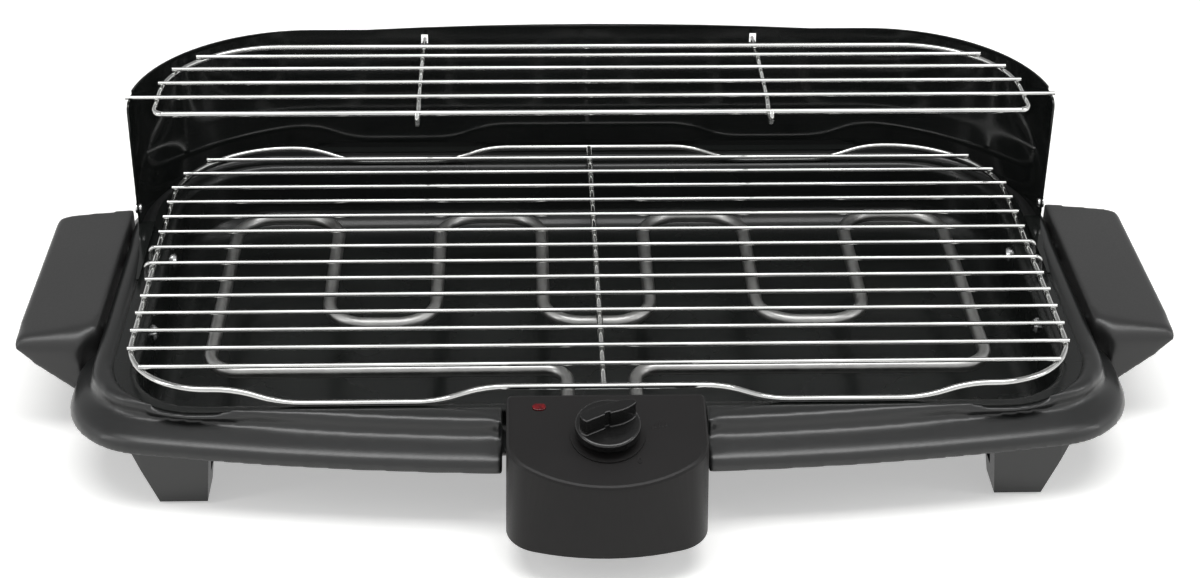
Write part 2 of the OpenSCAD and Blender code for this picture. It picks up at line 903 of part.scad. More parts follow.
// half of the edge wire: it dips onto the flange twice at the front and the rear
module grid_edge_wire() {
    rf = 40;
    rr = 56;
    run = shift_len(dip, dip_a);
    flat_f = grid_hw - rf - 45 - 2 * run - 2;
    flat_r = grid_hw - rr - 45 - 2 * run - 2;
    color("#d4d6d8")
        translate([0, y_shift, grid_h])
            both_sides()
                translate([0, -grid_front, 0])
                    bend(edge_d, concat(
                        [["L", 45]],
                        shift(-dip, dip_a, 90),
                        [["L", flat_f]],
                        shift(dip, dip_a, 0),
                        [["L", 2], ["A", rf, 90, -90],
                            ["L", grid_front + grid_rear - rf - rr], ["A", rr, 90, 0],
                            ["L", 2]],
                        shift(-dip, dip_a, 90),
                        [["L", flat_r]],
                        shift(dip, dip_a, 0),
                        [["L", 45]]));
}

// half width of the edge wire at a cross wire
function grid_x(y) = y > grid_rear - 56
    ? grid_hw - 56 + sqrt(pow(56, 2) - pow(y - grid_rear + 56, 2))
    : y < 40 - grid_front
        ? grid_hw - 40 + sqrt(pow(40, 2) - pow(y + grid_front - 40, 2)) : grid_hw;

module grid_wires() {
    half = (cross_n - 1) / 2;
    color("#d4d6d8")
        translate([0, y_shift, cross_h])
            for (i = [0:cross_n - 1])
                if (abs(i - half) > 1)
                    translate([0, (i - half) * cross_pitch, 0])
                        rotate([0, 90, 0])
                            cylinder(d = cross_d, h = 2 * grid_x((i - half) * cross_pitch) + 3,
                                center = true);
}

// the two middle wires are one loop with a foot at each side
module grid_loop() {
    hook_x = grid_hw + edge_d / 2 + cross_d / 2 + 1.2;
    r = 3;
    fall = cross_h - flange_top - cross_d / 2 - 0.05 - 2 * r;
    across = cross_pitch - 2 * r;
    color("#d4d6d8")
        translate([0, y_shift, cross_h])
            for (s = [0, 180])
                rotate([0, 0, s])
                    translate([0, cross_pitch / 2, 0])
                        bend(cross_d, [["L", hook_x - r], ["A", r, -90, 90], ["L", fall],
                            ["A", r, 90, 90], ["L", across], ["A", r, 90, 0], ["L", fall],
                            ["A", r, 90, 90], ["L", hook_x - r]]);
}

module grid_centre_wire() {
    color("#d4d6d8")
        translate([0, y_shift, grid_h + edge_d / 2 - 1.5])
            translate([0, -grid_front + edge_d / 2, 0])
                rotate([-90, 0, 0])
                    cylinder(d = 3, h = grid_front + grid_rear - edge_d);
}

// ---- heating element ----

module heating_element() {
    flat = 2 * tube_a - 2 * bend_r;
    low = 36.5;
    long = tube_rear + low - 2 * bend_r;
    color("#77797c")
        translate([0, y_shift, element_h])
            both_sides()
                translate([-lead_x, -box_rear - 14, 0])
                    rotate([0, 0, 90])
                        bend(tube_d, [["L", box_rear + 14 - tube_front - 11], ["A", 11, 90, 0],
                            ["L", 7 * tube_a - lead_x - 11 - 15], ["A", 15, -90, 0],
                            ["L", tube_front + tube_rear - 15 - bend_r], ["A", bend_r, -90, 0],
                            ["L", flat], ["A", bend_r, -90, 0], ["L", long],
                            ["A", bend_r, 90, 0], ["L", flat], ["A", bend_r, 90, 0], ["L", long],
                            ["A", bend_r, -90, 0], ["L", flat], ["A", bend_r, -90, 0], ["L", long],
                            ["A", bend_r, 90, 0], ["L", flat / 2]]);
}

// steel angle that hangs the control unit on the frame's bridge
module element_bracket() {
    hw = 34;
    color("#9a9c9e")
        translate([0, y_shift, 0])
            difference() {
                union() {
                    translate([-hw, 0.5 - box_rear, bridge_top + seat])
                        cube([2 * hw, 1.5, 15]);
                    translate([-hw, 0.5 - box_rear, bridge_top + seat])
                        cube([2 * hw, box_rear - pan_front - 5, 1.5]);
                }
                for (s = [-1, 1])
                    translate([s * lead_x, -box_rear - 2, element_h])
                        rotate([-90, 0, 0])
                            cylinder(d = tube_d + 2 * run_fit, h = 6);
            }
}

// ---- control unit ----

module box_slice(inset, drop, h = e) {
    translate([0, -box_rear, box_h])
        rotate([box_tilt, 0, 0])
            translate([0, 0, -drop])
                linear_extrude(h)
                    bowed(box_hw - inset, box_len - inset, -inset, box_r - inset,
                        box_cr - inset, 3.2 - min(inset, 3), 96);
}

module box_bottom(inset, z, h = e) {
    translate([0, -box_rear, z])
        linear_extrude(h)
            bowed(box_hw + 0.5 - inset, box_front - box_rear - 1.5 - inset, -inset,
                box_r + 40 - inset, box_cr - 2 - inset, 3.2 - min(inset, 3), 96);
}

// axis of the knob, square to the tilted panel
module on_panel(run, x = 0) {
    translate([x, -box_rear, box_h])
        rotate([box_tilt, 0, 0])
            translate([0, -run, 0])
                children();
}

module oval(w, d) {
    square([w - d, d], center = true);
    for (s = [-1, 1])
        translate([s * (w - d) / 2, 0])
            circle(d = d, $fn = 32);
}

module control_housing() {
    color("#232324")
        translate([0, y_shift, 0])
            difference() {
                union() {
                    hull() {
                        box_slice(2.2, e);
                        box_slice(1.1, 0.35);
                        box_slice(0.3, 1.2);
                        box_slice(0, edge_drop);
                        box_bottom(0, box_foot);
                    }
                    on_panel(knob_run)
                        cylinder(d = knob_d + 4, h = 0.7, $fn = 96);
                }
                hull() {
                    box_slice(wall, wall);
                    box_bottom(wall, box_foot - 1);
                }
                on_panel(knob_run)
                    translate([0, 0, -5])
                        cylinder(d = shaft_d + 1.6, h = 12);
                on_panel(8.8, -29.8)
                    translate([0, 0, -5])
                        linear_extrude(10)
                            oval(6.3, 4.2);
                for (s = [-1, 1])
                    translate([s * lead_x, -box_rear - 6, element_h])
                        rotate([-90, 0, 0])
                            cylinder(d = tube_d + 1, h = 12);
            }
}

module control_base() {
    color("#232324")
        translate([0, y_shift, 0])
            difference() {
                union() {
                    translate([0, 0, box_foot])
                        intersection() {
                            linear_extrude(wall)
                                translate([0, -box_rear])
                                    bowed(box_hw + 0.4 - wall - 0.3,
                                        box_front - box_rear - 1.6 - wall - 0.3, -wall - 0.3,
                                        box_r + 40 - wall - 0.3, box_cr - 2 - wall - 0.3, 1, 96);
                        }
                    for (p = post_at)
                        translate([p[0], p[1], box_foot])
                            cylinder(d = 7, h = 14);
                }
                for (p = post_at)
                    translate([p[0], p[1], box_foot - 1]) {
                        cylinder(d = 3.1, h = 13);
                        cylinder(d = 6, h = 1 + 1.4);
                    }
                for (i = [-2:2])
                    translate([i * 7 - 1, -box_rear - 34, box_foot - 1])
                        cube([2, 14, 5]);
                translate([0, -box_rear - inlet_in, box_foot - 1])
                    cylinder(d = 10.2, h = 6);
            }
}

module base_screws() {
    color("#b8b9ba")
        translate([0, y_shift, 0])
            for (p = post_at)
                translate([p[0], p[1], box_foot + 0.1])
                    difference() {
                        union() {
                            cylinder(d = 3, h = 11);
                            cylinder(d = 5.6, h = 1.3);
                        }
                        for (a = [0, 90])
                            rotate([0, 0, a])
                                translate([-1.6, -0.35, -1])
                                    cube([3.2, 0.7, 1.8]);
                    }
}

module thermostat() {
    color("#d8d4c8")
        translate([0, y_shift, 0])
            on_panel(knob_run)
                difference() {
                    union() {
                        translate([-15, -13, -wall - 16])
                            cube([30, 26, 14]);
                        translate([0, 0, -wall - 3])
                            cylinder(d = 10, h = 2.9);
                    }
                    translate([0, 0, -wall - 14])
                        cylinder(d = shaft_d + 2 * run_fit, h = 30);
                }
}

module knob_shaft() {
    color("#c9cacb")
        translate([0, y_shift, 0])
            on_panel(knob_run)
                translate([0, 0, -wall - 13])
                    cylinder(d = shaft_d, h = wall + 13 + 8);
}

// grip bar of the knob: an S in plan, cut off by the disc's rim
module grip_plan() {
    r = knob_d / 2 - 1;
    intersection() {
        circle(r = r, $fn = 96);
        union() {
            square([2 * r, 6.4], center = true);
            for (s = [0, 180])
                rotate([0, 0, s])
                    difference() {
                        translate([-r, -3.2])
                            square([r, 8.6]);
                        translate([-2.5, 9.6])
                            circle(r = 6.5, $fn = 64);
                        translate([-1, 3.2])
                            square([3, 6]);
                    }
        }
    }
}

module knob() {
    r = knob_d / 2;
    color("#161617")
        translate([0, y_shift, 0])
            on_panel(knob_run)
                difference() {
                    union() {
                        rotate_extrude($fn = 96)
                            polygon([[0, 1], [r - 3, 1], [r - 3, 4.2], [r - 0.6, 4.2],
                                [r, 4.8], [r, 7], [r - 1.8, 9], [0, 9]]);
                        rotate([0, 0, grip_turn])
                            translate([0, 0, 8])
                                linear_extrude(9.2)
                                    grip_plan();
                    }
                    translate([0, 0, -1])
                        cylinder(d = shaft_d + 2 * run_fit, h = 9 + 1);
                }
}

module lamp_lens() {
    color("#a3141c")
        translate([0, y_shift, 0])
            on_panel(8.8, -29.8)
                translate([0, 0, -wall - 0.2]) {
                    linear_extrude(wall + 0.8)
                        oval(6.1, 4);
                    translate([0, 0, -1])
                        linear_extrude(1)
                            oval(8, 6);
                }
}

module lamp() {
    color("#e8c8b0")
        translate([0, y_shift, 0])
            on_panel(8.8, -29.8)
                translate([0, 0, -wall - 1.3 - 12])
                    cylinder(d = 4.5, h = 12);
}

module terminal_block() {
    color("#e6e2d6")
        translate([0, y_shift, 0])
            difference() {
                translate([-24, -box_rear - 36.5, box_foot + wall + 0.1])
                    cube([48, 12, 11]);
                for (i = [-1:1])
                    translate([i * 15, -box_rear - 30.5, box_foot + wall + 6])
                        cylinder(d = 5, h = 10);
            }
}

// inlet for a supply lead, in the base plate's rear
module cord_gland() {
    color("#2b2b2b")
        translate([0, y_shift - box_rear - inlet_in, box_foot])
            rotate([180, 0, 0])
                difference() {
                    union() {
                        cylinder(d = 13, h = 3);
                        translate([0, 0, -wall - 2])
                            cylinder(d = 10, h = wall + 3);
                        translate([0, 0, -wall - 2.1])
                            cylinder(d = 12.5, h = 2);
                    }
                    translate([0, 0, -8])
                        cylinder(d = 7, h = 20);
                }
}

base_frame();
legs();
foot_pads();
pan();
handle_left();
handle_right();
handle_screws();
windshield();
shield_rivets();
rack_edge_wire();
rack_bars();
rack_bearers();
grid_edge_wire();
grid_wires();
grid_loop();
grid_centre_wire();
heating_element();
element_bracket();
control_housing();
control_base();
base_screws();
thermostat();
knob();
knob_shaft();
lamp_lens();
lamp();
terminal_block();
cord_gland();
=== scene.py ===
import json
import math
import bpy
from mathutils import Matrix, Vector

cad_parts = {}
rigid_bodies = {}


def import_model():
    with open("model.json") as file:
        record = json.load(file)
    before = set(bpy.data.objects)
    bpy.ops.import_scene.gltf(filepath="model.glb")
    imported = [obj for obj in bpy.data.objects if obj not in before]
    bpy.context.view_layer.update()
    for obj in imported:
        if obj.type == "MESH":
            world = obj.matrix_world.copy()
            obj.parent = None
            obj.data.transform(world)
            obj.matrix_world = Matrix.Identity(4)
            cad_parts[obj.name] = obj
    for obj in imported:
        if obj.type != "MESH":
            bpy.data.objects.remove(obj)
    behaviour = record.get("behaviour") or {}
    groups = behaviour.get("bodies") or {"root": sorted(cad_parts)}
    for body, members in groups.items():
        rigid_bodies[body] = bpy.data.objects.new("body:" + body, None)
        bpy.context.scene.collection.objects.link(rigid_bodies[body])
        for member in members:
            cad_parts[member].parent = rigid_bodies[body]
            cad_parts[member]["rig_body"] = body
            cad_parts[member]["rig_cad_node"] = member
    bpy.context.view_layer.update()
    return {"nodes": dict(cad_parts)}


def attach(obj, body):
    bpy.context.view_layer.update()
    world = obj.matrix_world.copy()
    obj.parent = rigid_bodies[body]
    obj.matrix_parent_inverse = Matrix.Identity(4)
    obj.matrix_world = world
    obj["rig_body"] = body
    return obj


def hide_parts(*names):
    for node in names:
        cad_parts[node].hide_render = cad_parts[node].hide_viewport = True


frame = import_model()
nodes = frame["nodes"]
mm = 0.001
print("solids loaded:", len(nodes))


# the camera comes first, at the photograph's angle
cameraSettings = {
    "place": (-0.03524, -0.94257, 0.60613),     # metres, from the floor between the grill's feet
    "right": (0.99941, -0.03277, 0.01036),
    "up": (0.00770, 0.50713, 0.86184),
    "lens": 66.31,                              # mm
    "sensor": 36,                               # mm wide
    "clip": (0.05, 50),                         # metres, nearest and farthest
}


def makeCamera(settings):
    data = bpy.data.cameras.new("camera")
    data.lens = settings["lens"]
    data.sensor_width = settings["sensor"]
    data.sensor_fit = "HORIZONTAL"
    data.clip_start, data.clip_end = settings["clip"]
    camera = bpy.data.objects.new("camera", data)
    bpy.context.scene.collection.objects.link(camera)
    right = Vector(settings["right"]).normalized()
    up = Vector(settings["up"]).normalized()
    back = right.cross(up).normalized()
    up = back.cross(right)
    turn = Matrix((right, up, back)).transposed().to_4x4()
    camera.matrix_world = Matrix.Translation(settings["place"]) @ turn
    bpy.context.scene.camera = camera


makeCamera(cameraSettings)


# nodes that the materials and the room are put together from

def linear(hexColour):
    # sRGB hex to the linear colour that a shader takes
    parts = [int(hexColour[i:i + 2], 16) / 255 for i in (1, 3, 5)]
    return tuple(p / 12.92 if p <= 0.04045 else ((p + 0.055) / 1.055) ** 2.4 for p in parts) + (1.0,)


def perSize(size):
    # texture scale for a pattern whose features are this many mm across
    return 1 / (size * mm)


def addNode(owner, kind, values=None, links=None, **settings):
    # the owner is a material or the world
    added = owner.node_tree.nodes.new(kind)
    for name, value in settings.items():
        setattr(added, name, value)
    for name, value in (values or {}).items():
        added.inputs[name].default_value = value
    for name, source in (links or {}).items():
        owner.node_tree.links.new(source, added.inputs[name])
    return added


def startMaterial(name):
    material = bpy.data.materials.new(name)
    material.use_nodes = True
    material.node_tree.nodes.clear()
    return material


def endMaterial(material, shader):
    addNode(material, "ShaderNodeOutputMaterial", links={"Surface": shader.outputs[0]})
    return material


noiseSpread = (0.3, 0.7)        # nearly all values of a noise texture lie in between
fineRelief = 0.05               # mm, how far a bump of full strength stands out


def addNoise(material, place, size, detail):
    # features this many mm across, with this many finer layers in them
    noise = addNode(material, "ShaderNodeTexNoise", {"Scale": perSize(size), "Detail": detail},
                    {"Vector": place})
    return noise.outputs["Fac"]


def addTint(material, look, factor):
    # from the look's dark colour to its light one
    tint = addNode(material, "ShaderNodeMix", {"A": linear(look["dark"]), "B": linear(look["light"])},
                   {"Factor": factor}, data_type="RGBA")
    return tint.outputs["Result"]


def addGloss(material, look, factor):
    low, high = look["roughness"]
    gloss = addNode(material, "ShaderNodeMapRange",
                    {"From Min": noiseSpread[0], "From Max": noiseSpread[1], "To Min": low, "To Max": high},
                    {"Value": factor})
    return gloss.outputs["Result"]


def addBump(material, height, strength, relief=fineRelief):
    bump = addNode(material, "ShaderNodeBump", {"Strength": strength, "Distance": relief * mm},
                   {"Height": height})
    return bump.outputs["Normal"]


# moulded phenolic, spark-eroded tool: a satin black that goes grey where it faces the light
pigmentClouds = 45              # mm across
mouldedPlastic = {
    "frame": {"dark": "#151616", "light": "#1b1c1c", "roughness": (0.28, 0.37), "ior": 1.56,
              "grain": 0.9, "depth": 0.12},
    "handle": {"dark": "#202020", "light": "#282828", "roughness": (0.33, 0.43), "ior": 1.53,
               "grain": 0.9, "depth": 0.12},
    "housing": {"dark": "#1c1b1b", "light": "#242323", "roughness": (0.34, 0.44), "ior": 1.27,
                "grain": 0.8, "depth": 0.14},
    "knob": {"dark": "#0c0c0c", "light": "#121212", "roughness": (0.18, 0.26), "ior": 1.50,
             "grain": 0.7, "depth": 0.04},
}


def makePlastic(name, look):
    material = startMaterial(name)
    place = addNode(material, "ShaderNodeTexCoord").outputs["Object"]
    clouds = addNoise(material, place, pigmentClouds, detail=3.0)
    # the eroded grain is 0.2 mm on the real one, drawn coarser so that it shows
    grain = addNoise(material, place, look["grain"], detail=2.0)
    shader = addNode(material, "ShaderNodeBsdfPrincipled", {"IOR": look["ior"]},
                     {"Base Color": addTint(material, look, clouds),
                      "Roughness": addGloss(material, look, grain),
                      "Normal": addBump(material, grain, look["depth"])})
    return endMaterial(material, shader)


framePlastic = makePlastic("phenolicMouldedFrame", mouldedPlastic["frame"])
handlePlastic = makePlastic("phenolicMouldedHandle", mouldedPlastic["handle"])
housingPlastic = makePlastic("phenolicMouldedHousing", mouldedPlastic["housing"])
knobPlastic = makePlastic("phenolicMouldedKnob", mouldedPlastic["knob"])


# vitreous enamel, sprayed and fired on sheet steel: black glass with a slight orange peel
firingPatches = 60              # mm across, where the coat is a little thinner and paler
enamelIor = 1.42
firedEnamel = {
    "pan": {"dark": "#0f1110", "light": "#191b1a", "roughness": (0.20, 0.32), "peel": 3.2, "depth": 0.22},
    "shield": {"dark": "#131514", "light": "#191b1a", "roughness": (0.06, 0.13), "peel": 3.8, "depth": 0.12},
}


def makeEnamel(name, look):
    material = startMaterial(name)
    place = addNode(material, "ShaderNodeTexCoord").outputs["Object"]
    patches = addNoise(material, place, firingPatches, detail=4.0)
    peel = addNoise(material, place, look["peel"], detail=1.0)
    shader = addNode(material, "ShaderNodeBsdfPrincipled", {"IOR": enamelIor},
                     {"Base Color": addTint(material, look, patches),
                      "Roughness": addGloss(material, look, patches),
                      "Normal": addBump(material, peel, look["depth"])})
    return endMaterial(material, shader)


panEnamel = makeEnamel("enamelFiredPan", firedEnamel["pan"])
shieldEnamel = makeEnamel("enamelFiredShield", firedEnamel["shield"])


# metals: plated wire is a bright mirror, the heating tube's oxide a dull grey
metalLooks = {
    "chrome": {"dark": "#b2b3b2", "light": "#d6d6d4", "roughness": (0.07, 0.15),
               "size": 14, "bump": 2.0, "depth": 0.05},
    "rack": {"dark": "#bcbdbc", "light": "#dededc", "roughness": (0.06, 0.13),
             "size": 14, "bump": 2.0, "depth": 0.05},
    "tube": {"dark": "#8c8c8b", "light": "#b4b4b2", "roughness": (0.30, 0.42),
             "size": 9, "bump": 0.9, "depth": 0.14},
    "bracket": {"dark": "#8d8f90", "light": "#a9abab", "roughness": (0.30, 0.42),
                "size": 8, "bump": 1.2, "depth": 0.08},
    "screw": {"dark": "#b9babb", "light": "#d9dada", "roughness": (0.14, 0.24),
              "size": 4, "bump": 0.8, "depth": 0.05},
    "rivet": {"dark": "#bfc0c0", "light": "#dcdcdc", "roughness": (0.14, 0.24),
              "size": 4, "bump": 0.8, "depth": 0.05},
    "shaft": {"dark": "#a9abad", "light": "#c8c9ca", "roughness": (0.18, 0.28),
              "size": 5, "bump": 0.8, "depth": 0.05},
}


def makeMetal(name, look):
    material = startMaterial(name)
    place = addNode(material, "ShaderNodeTexCoord").outputs["Object"]
    clouds = addNoise(material, place, look["size"], detail=4.0)
    drawn = addNoise(material, place, look["bump"], detail=2.0)
    shader = addNode(material, "ShaderNodeBsdfPrincipled", {"Metallic": 1.0},
                     {"Base Color": addTint(material, look, clouds),
                      "Roughness": addGloss(material, look, clouds),
                      "Normal": addBump(material, drawn, look["depth"])})
    return endMaterial(material, shader)


gridChrome = makeMetal("chromePlatedWireGrid", metalLooks["chrome"])
rackChrome = makeMetal("chromePlatedWireRack", metalLooks["rack"])
tubeAlloy = makeMetal("nickelAlloyTubeOxidised", metalLooks["tube"])
bracketSteel = makeMetal("galvanisedSheetBracket", metalLooks["bracket"])
screwSteel = makeMetal("zincPlatedScrew", metalLooks["screw"])
rivetSteel = makeMetal("zincPlatedRivet", metalLooks["rivet"])
shaftSteel = makeMetal("turnedSteelShaft", metalLooks["shaft"])


# moulded rubber and pressed ceramic, evenly dull
dullRelief = 0.3                # strength of the bump
dullLooks = {
    "padRubber": {"dark": "#121212", "light": "#1d1d1d", "roughness": 0.78, "grain": 1.2},
    "glandRubber": {"dark": "#101010", "light": "#191919", "roughness": 0.7, "grain": 1.0},
    "ceramic": {"dark": "#cfc9ba", "light": "#e0dccf", "roughness": 0.5, "grain": 1.0},
}


def makeDull(name, look):
    material = startMaterial(name)
    place = addNode(material, "ShaderNodeTexCoord").outputs["Object"]
    grain = addNoise(material, place, look["grain"], detail=3.0)
    shader = addNode(material, "ShaderNodeBsdfPrincipled", {"Roughness": look["roughness"]},
                     {"Base Color": addTint(material, look, grain),
                      "Normal": addBump(material, grain, dullRelief)})
    return endMaterial(material, shader)


padRubber = makeDull("rubberMouldedPad", dullLooks["padRubber"])
glandRubber = makeDull("rubberMouldedGland", dullLooks["glandRubber"])
switchCeramic = makeDull("steatitePressed", dullLooks["ceramic"])


# clear parts with small facets: red acrylic that is deep with bright specks, and the lamp's glass
clearShared = {"roughness": 0.12, "ior": 1.49, "depth": 0.35, "relief": 0.1}
clearLooks = {
    "lens": {"dark": "#380407", "light": "#86121a", "facet": 1.1, "transmission": 0.15},
    "lamp": {"dark": "#c9c2b6", "light": "#e4ddd0", "facet": 1.6, "transmission": 0.7},
}


def makeClear(name, look):
    material = startMaterial(name)
    place = addNode(material, "ShaderNodeTexCoord").outputs["Object"]
    facets = addNode(material, "ShaderNodeTexVoronoi", {"Scale": perSize(look["facet"])},
                     {"Vector": place}).outputs["Distance"]
    shader = addNode(material, "ShaderNodeBsdfPrincipled",
                     {"Roughness": clearShared["roughness"], "IOR": clearShared["ior"],
                      "Transmission Weight": look["transmission"]},
                     {"Base Color": addTint(material, look, facets),
                      "Normal": addBump(material, facets, clearShared["depth"], clearShared["relief"])})
    return endMaterial(material, shader)


lensRed = makeClear("acrylicMouldedLens", clearLooks["lens"])
lampGlass = makeClear("glassBlownLamp", clearLooks["lamp"])
print("materials made:", len(bpy.data.materials))


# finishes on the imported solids
finishes = {
    "base_frame": framePlastic, "legs": framePlastic, "foot_pads": padRubber,
    "pan": panEnamel, "handle_left": handlePlastic, "handle_right": handlePlastic,
    "handle_screws": screwSteel, "windshield": shieldEnamel, "shield_rivets": rivetSteel,
    "rack_edge_wire": rackChrome, "rack_bars": rackChrome, "rack_bearers": rackChrome,
    "grid_edge_wire": gridChrome, "grid_wires": gridChrome,
    "grid_loop": gridChrome, "grid_centre_wire": gridChrome,
    "heating_element": tubeAlloy, "element_bracket": bracketSteel,
    "control_housing": housingPlastic, "control_base": housingPlastic, "base_screws": screwSteel,
    "thermostat": switchCeramic, "knob": knobPlastic, "knob_shaft": shaftSteel,
    "lamp_lens": lensRed, "lamp": lampGlass, "terminal_block": switchCeramic, "cord_gland": glandRubber,
}
for name, material in finishes.items():
    for slot in nodes[name].material_slots:
        slot.material = material
print("finishes laid on", len(finishes), "solids")


# mouldings with soft edges, each made from a copy of its solid
weldGap = 0.01                  # mm, corners closer than this become one
smoothing = 0.5                 # how far one pass moves a corner towards its neighbours


def selectOnly(*pieces):
    # the first of them becomes the active one
    bpy.ops.object.select_all(action="DESELECT")
    for piece in pieces:
        piece.select_set(True)
    bpy.context.view_layer.objects.active = pieces[0]


def copySolid(name, copyName):
    piece = nodes[name].copy()
    piece.data = nodes[name].data.copy()
    piece.name = copyName
    piece.data.name = copyName
    piece.parent = None
    for key in ("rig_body", "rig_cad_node"):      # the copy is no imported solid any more
        if key in piece:
            del piece[key]
    bpy.context.scene.collection.objects.link(piece)
    selectOnly(piece)
    bpy.ops.object.mode_set(mode="EDIT")
    bpy.ops.mesh.select_all(action="SELECT")
    bpy.ops.mesh.remove_doubles(threshold=weldGap * mm)
    bpy.ops.mesh.normals_make_consistent(inside=False)
    bpy.ops.object.mode_set(mode="OBJECT")
    return piece


def applyModifier(piece, kind, **settings):
    modifier = piece.modifiers.new(kind.lower(), kind)
    for name, value in settings.items():
        setattr(modifier, name, value)
    bpy.context.view_layer.objects.active = piece
    bpy.ops.object.modifier_apply(modifier=modifier.name)


def roundOver(piece, look):
    # even quads all over, then smoothing rounds each edge as the real tool's radii do
    applyModifier(piece, "REMESH", mode="VOXEL", voxel_size=look["voxel"] * mm, use_smooth_shade=True)
    applyModifier(piece, "SMOOTH", factor=smoothing, iterations=look["rounding"])


def giveGroup(piece, name, weigh):
    group = piece.vertex_groups.new(name=name)
    for vertex in piece.data.vertices:
        weight = weigh(vertex.co)
        if weight > 0:
            group.add([vertex.index], weight, "REPLACE")


def finishPiece(piece, material, body):
    piece.data.materials.clear()
    piece.data.materials.append(material)
    selectOnly(piece)
    bpy.ops.object.shade_smooth()
    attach(piece, body)


def softMoulding(source, name, look, material, body, weigh=None):
    piece = copySolid(source, name)
    roundOver(piece, look)
    if weigh:
        giveGroup(piece, "softer", weigh)
        applyModifier(piece, "SMOOTH", factor=smoothing, iterations=look["softer"], vertex_group="softer")
    piece.vertex_groups.clear()
    finishPiece(piece, material, body)
    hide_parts(source)
    print(name, "made,", len(piece.data.polygons), "faces")


def limit(value):
    return min(max(value, 0), 1)


def ramp(value, start, end):
    # 0 at the start, 1 at the end and past it
    return limit((value - start) / (end - start))


frameShape = {
    "voxel": 1.2,               # mm, size of a face
    "rounding": 5,              # smoothing passes everywhere
    "softer": 26,               # more passes where the ledge rolls over into the bulge
    # mm, from where that part begins to where it is full
    "height": (31.5, 34.0),
    "side": (229, 232),         # outwards from the middle, past the pan's rim
    "front": (104, 107),        # forwards from the middle, past the pan's rim
    "bay": (50, 56),            # to either side, clear of the control unit's bay
    "rear": (60, 50),           # behind the middle, where it ends
}


def frameSoftness(point):
    # the step between ledge and bulge, outside the pan's rim and clear of the control unit's bay
    side = max(ramp(abs(point.x) / mm, *frameShape["side"]), ramp(-point.y / mm, *frameShape["front"]))
    height = ramp(point.z / mm, *frameShape["height"])
    clear = ramp(abs(point.x) / mm, *frameShape["bay"])
    back = ramp(point.y / mm, *frameShape["rear"])
    return side * height * clear * back


softMoulding("base_frame", "frameMoulding", frameShape, framePlastic, "base", frameSoftness)

handleShape = {
    "voxel": 0.9,
    "rounding": 7,
    "softer": 60,               # more passes where the top rolls over to the slanting front
    "fold": -43.7,              # mm, the handle's front end
    "behind": 5,                # mm behind that end, where the roll is softest
    "reach": 16.0,              # mm to either side of there
    "fullness": 1.6,            # over 1 keeps a broad part of the reach fully soft
    "height": (38.0, 42.0),     # mm, from where it begins to where it is full
}


def handleSoftness(point):
    away = abs(point.y / mm - handleShape["fold"] - handleShape["behind"])
    forward = limit((1 - away / handleShape["reach"]) * handleShape["fullness"])
    return forward * ramp(point.z / mm, *handleShape["height"])


for side in ("left", "right"):
    softMoulding("handle_" + side, "handleMoulding" + side.capitalize(), handleShape, handlePlastic, "base",
                 handleSoftness)

lensShape = {"voxel": 0.12, "rounding": 8}
softMoulding("lamp_lens", "lensMoulding", lensShape, lensRed, "control_unit")


# knob: an S-shaped grip bar across a disc, on the tilted panel
panelPlace = {
    "rear": -116.7495,      # mm, where the panel leaves the housing's rear wall
    "height": 66.2,
    "tilt": 12.0,           # degrees forward
    "axle": 26.581,         # mm down the panel to the knob's axis
}


def panelMatrix(down, across=0):
    # a place on the panel, this many mm down it and to the right of the knob's axis
    tilt = Matrix.Rotation(math.radians(panelPlace["tilt"]), 4, "X")
    start = Vector((0, panelPlace["rear"], panelPlace["height"])) * mm
    return Matrix.Translation(start) @ tilt @ Matrix.Translation((across * mm, -down * mm, 0))


def selectFaces(piece, wanted):
    # faces whose normal passes the test
    bpy.ops.object.mode_set(mode="EDIT")
    bpy.ops.mesh.select_mode(type="FACE")
    bpy.ops.mesh.select_all(action="DESELECT")
    bpy.ops.object.mode_set(mode="OBJECT")
    for face in piece.data.polygons:
        face.select = wanted(face.normal)
    bpy.ops.object.mode_set(mode="EDIT")


def extrudeUp(height):
    bpy.ops.mesh.extrude_region_move(TRANSFORM_OT_translate={"value": (0, 0, height * mm)})


knobShape = {
    "skirt": 11.5,          # mm, radius under the disc
    "disc": 14.4,
    "facets": 96,           # round the disc
    "gap": 1,               # mm above the panel, underside of the skirt
    "under": 4.2,           # and of the disc
    "top": 7.8,
    "rim": 0.9,             # mm, width of the chamfer round the disc's raised face
    "raised": 0.5,
    "sunk": 1,              # mm that the grip bar goes down into the disc
    "gripTop": 16.8,
    "voxel": 0.26,
    "rounding": 3,
    # the grip bar's outline: its front side from the left end to the tip, with the pointer's groove
    "front": [(-9.6, -7.6), (-7.1, -6.2), (-4.6, -4.9), (-2.9, -4.0), (-1.5, -3.3), (-1.4, -2.1),
              (0.7, -1.3), (0.8, -2.4), (2.6, -1.9), (4.6, -1.3), (6.8, -0.4), (8.9, 0.9),
              (10.8, 2.4), (12.1, 3.9)],
    # and its back from the tip to the left end
    "back": [(12.3, 5.0), (11.2, 5.8), (8.9, 5.9), (6.5, 5.7), (4.2, 5.2), (2.0, 4.5), (0.0, 3.7),
             (-2.4, 2.7), (-4.8, 1.7), (-7.2, 0.6), (-9.8, -0.6), (-12.4, -2.2), (-12.4, -4.2),
             (-11.3, -6.2)],
}
hairStep = 0.01             # mm, thin enough not to show
facingUp = 0.9              # least upward part of such a face's normal


